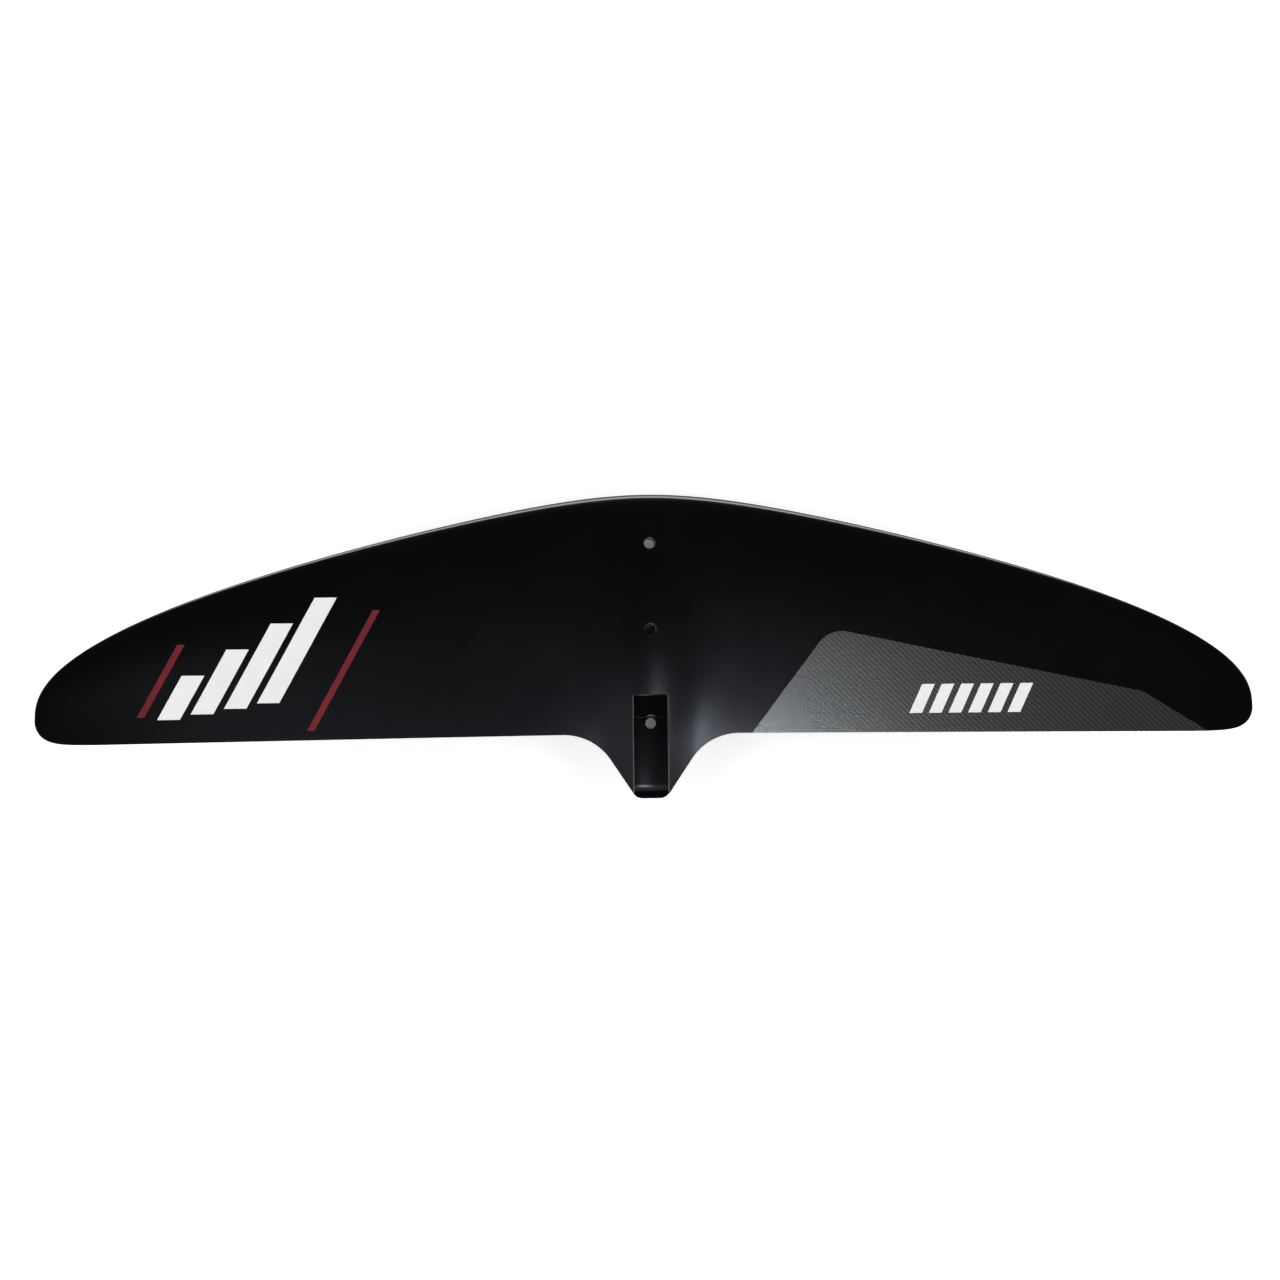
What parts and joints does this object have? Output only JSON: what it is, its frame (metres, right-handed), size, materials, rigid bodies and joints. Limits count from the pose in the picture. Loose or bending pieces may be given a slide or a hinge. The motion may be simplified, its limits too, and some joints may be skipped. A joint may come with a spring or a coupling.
{
  "type": "hydrofoil front wing",
  "caption": "Swept hydrofoil front wing with raised tips, a short tail, a fuselage slot and screw holes on the centre line.",
  "frame": {"origin": "centre of the rear screw hole on the floor of the fuselage slot", "axes": "+X towards one tip, +Y forward to the leading edge, +Z out of the fuselage slot, so the face that meets the fuselage looks up and the convex back looks down"},
  "size_m": [0.9448, 0.243, 0.0544],
  "materials": {
    "black_lacquer": "satin black lacquer over carbon laminate",
    "bare_carbon": "clear coated carbon twill",
    "white_print": "white print under clear coat",
    "red_print": "dark red print under clear coat",
    "tray_laminate": "moulded black carbon laminate",
    "solid_laminate": "machined carbon laminate",
    "core_foam": "closed cell foam",
    "ferrule_metal": "turned and black anodised aluminium"
  },
  "bodies": {
    "root": {"face_skin": "black_lacquer", "back_skin": "black_lacquer", "left_front_core": "core_foam", "left_shear_web": "solid_laminate", "left_rear_core": "core_foam", "left_trailing_strip": "solid_laminate", "left_tip_block": "solid_laminate", "right_front_core": "core_foam", "right_shear_web": "solid_laminate", "right_rear_core": "core_foam", "right_trailing_strip": "solid_laminate", "right_tip_block": "solid_laminate", "leading_edge_strip": "solid_laminate", "face_spar_cap": "solid_laminate", "back_spar_cap": "solid_laminate", "centre_block": "solid_laminate", "tail_block": "solid_laminate", "slot_tray": "tray_laminate", "front_ferrule": "ferrule_metal", "middle_ferrule": "ferrule_metal", "rear_ferrule": "ferrule_metal", "carbon_panel": "bare_carbon", "emblem_bars": "white_print", "emblem_edges": "red_print", "size_mark": "white_print"}
  },
  "joints": []
}
